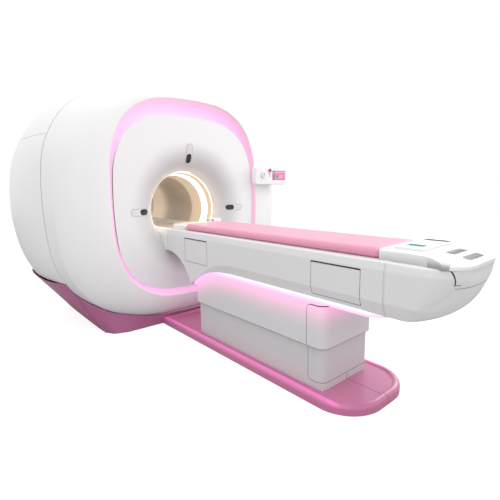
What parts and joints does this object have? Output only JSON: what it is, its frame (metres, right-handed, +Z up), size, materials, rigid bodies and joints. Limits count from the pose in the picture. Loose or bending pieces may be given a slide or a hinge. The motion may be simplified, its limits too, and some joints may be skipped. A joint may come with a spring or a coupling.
{
  "type": "mri scanner",
  "caption": "Hospital MRI scanner: round-bore magnet in moulded covers with lit bands, and a patient table on a telescopic pedestal with a sliding cradle.",
  "frame": {"origin": "on the floor under the middle of the machine's bounding box", "axes": "+Y from the foot of the patient table into the bore, +Z up, +X to the right of someone who stands at the foot of the table and looks into the bore"},
  "size_m": [2.48, 4.015, 2.165],
  "materials": {
    "cover_white": "satin",
    "bore_cream": "semi-gloss",
    "light_panel": "lit diffuser",
    "base_pink": "satin",
    "table_white": "satin",
    "cradle_white": "satin",
    "pad": "soft coated fabric",
    "steel": "machined",
    "column_metal": "satin",
    "winding": "potted",
    "belt": "matte",
    "trim_dark": "satin",
    "window_dark": "gloss",
    "pod_grey": "satin",
    "screen": "lit screen",
    "stop_red": "gloss"
  },
  "bodies": {
    "gantry": {"base_skirt_front": "base_pink", "base_skirt_left": "base_pink", "base_skirt_right": "base_pink", "floor_tray_left": "base_pink", "floor_tray_right": "base_pink", "vacuum_vessel": "steel", "helium_vessel": "steel", "main_coils": "winding", "magnet_feet": "steel", "gradient_coil": "winding", "body_coil": "winding", "bore_liner": "bore_cream", "cold_head": "steel", "front_cover": "cover_white", "face_panel": "cover_white", "halo_diffuser": "light_panel", "bore_ring_outer": "light_panel", "front_funnel": "bore_cream", "bore_ring_inner": "light_panel", "side_cover_left": "cover_white", "side_cover_right": "cover_white", "top_cover": "cover_white", "rear_cover": "cover_white", "rear_funnel": "bore_cream", "seam_trim": "trim_dark", "bore_bridge": "cover_white", "table_dock": "cover_white", "laser_bezels": "cover_white", "laser_windows": "window_dark", "display_housing": "pod_grey", "display_screen": "screen", "pedestal_lower_cover": "table_white", "lower_end_cover": "table_white", "lift_column_outer": "column_metal", "lift_motor": "column_metal"},
    "lift_middle": {"lift_column_middle": "column_metal"},
    "table": {"lift_column_inner": "column_metal", "pedestal_upper_cover": "table_white", "upper_end_cover": "table_white", "table_frame": "column_metal", "fairing_left": "table_white", "fairing_right": "table_white", "nose_shell": "table_white", "nose_front_panel": "table_white", "under_light_diffuser": "light_panel", "drive_motor": "column_metal", "drive_belt": "belt"},
    "cradle": {"cradle_board": "cradle_white", "mattress": "pad", "head_end_cap": "cradle_white", "foot_end_cap": "cradle_white", "coil_port_deck": "cradle_white"},
    "drive_pulley": {"drive_pulley": "column_metal"},
    "idler_pulley": {"idler_pulley": "column_metal"},
    "stop_button": {"emergency_stop": "stop_red"},
    "knob": {"display_knob": "pod_grey"},
    "hatch_head_left": {"hatch_head_left": "table_white"},
    "hatch_head_right": {"hatch_head_right": "table_white"},
    "hatch_foot_left": {"hatch_foot_left": "table_white"},
    "hatch_foot_right": {"hatch_foot_right": "table_white"}
  },
  "joints": [
    {"name": "table_lift", "type": "slide", "parent": "gantry", "child": "table", "axis": [0, 0, 1], "range_m": [-0.23, 0]},
    {"name": "lift_middle_slide", "type": "slide", "parent": "gantry", "child": "lift_middle", "axis": [0, 0, 1], "range_m": [-0.115, 0]},
    {"name": "cradle_slide", "type": "slide", "parent": "table", "child": "cradle", "axis": [0, 1, 0], "range_m": [0, 1.5]},
    {"name": "drive_pulley_spin", "type": "hinge", "parent": "table", "child": "drive_pulley", "pos_m": [0, 0.1325, 0.742], "axis": [1, 0, 0], "range_deg": [-2900, 0]},
    {"name": "idler_pulley_spin", "type": "hinge", "parent": "table", "child": "idler_pulley", "pos_m": [0, -1.7875, 0.742], "axis": [1, 0, 0], "range_deg": [-2900, 0]},
    {"name": "emergency_stop_press", "type": "slide", "parent": "gantry", "child": "stop_button", "axis": [0, 1, 0], "range_m": [0, 0.005], "stiffness_N_per_m": 1500},
    {"name": "display_knob_turn", "type": "hinge", "parent": "gantry", "child": "knob", "pos_m": [0.79, 0.2575, 1.309], "axis": [0, 1, 0], "range_deg": [-150, 150]},
    {"name": "hatch_head_left_hinge", "type": "hinge", "parent": "table", "child": "hatch_head_left", "pos_m": [-0.2622, -0.1035, 0.6205], "axis": [0, -1, 0], "range_deg": [0, 85]},
    {"name": "hatch_head_right_hinge", "type": "hinge", "parent": "table", "child": "hatch_head_right", "pos_m": [0.2622, -0.1035, 0.6205], "axis": [0, 1, 0], "range_deg": [0, 85]},
    {"name": "hatch_foot_left_hinge", "type": "hinge", "parent": "table", "child": "hatch_foot_left", "pos_m": [-0.24785, -1.4055, 0.6205], "axis": [0, -1, 0], "range_deg": [0, 85]},
    {"name": "hatch_foot_right_hinge", "type": "hinge", "parent": "table", "child": "hatch_foot_right", "pos_m": [0.24785, -1.4055, 0.6205], "axis": [0, 1, 0], "range_deg": [0, 85]}
  ],
  "couplings": [
    {"joint": "lift_middle_slide", "follows": "table_lift", "ratio": 0.5},
    {"joint": "drive_pulley_spin", "follows": "cradle_slide", "rad_per_m": -33.557},
    {"joint": "idler_pulley_spin", "follows": "cradle_slide", "rad_per_m": -33.557}
  ]
}
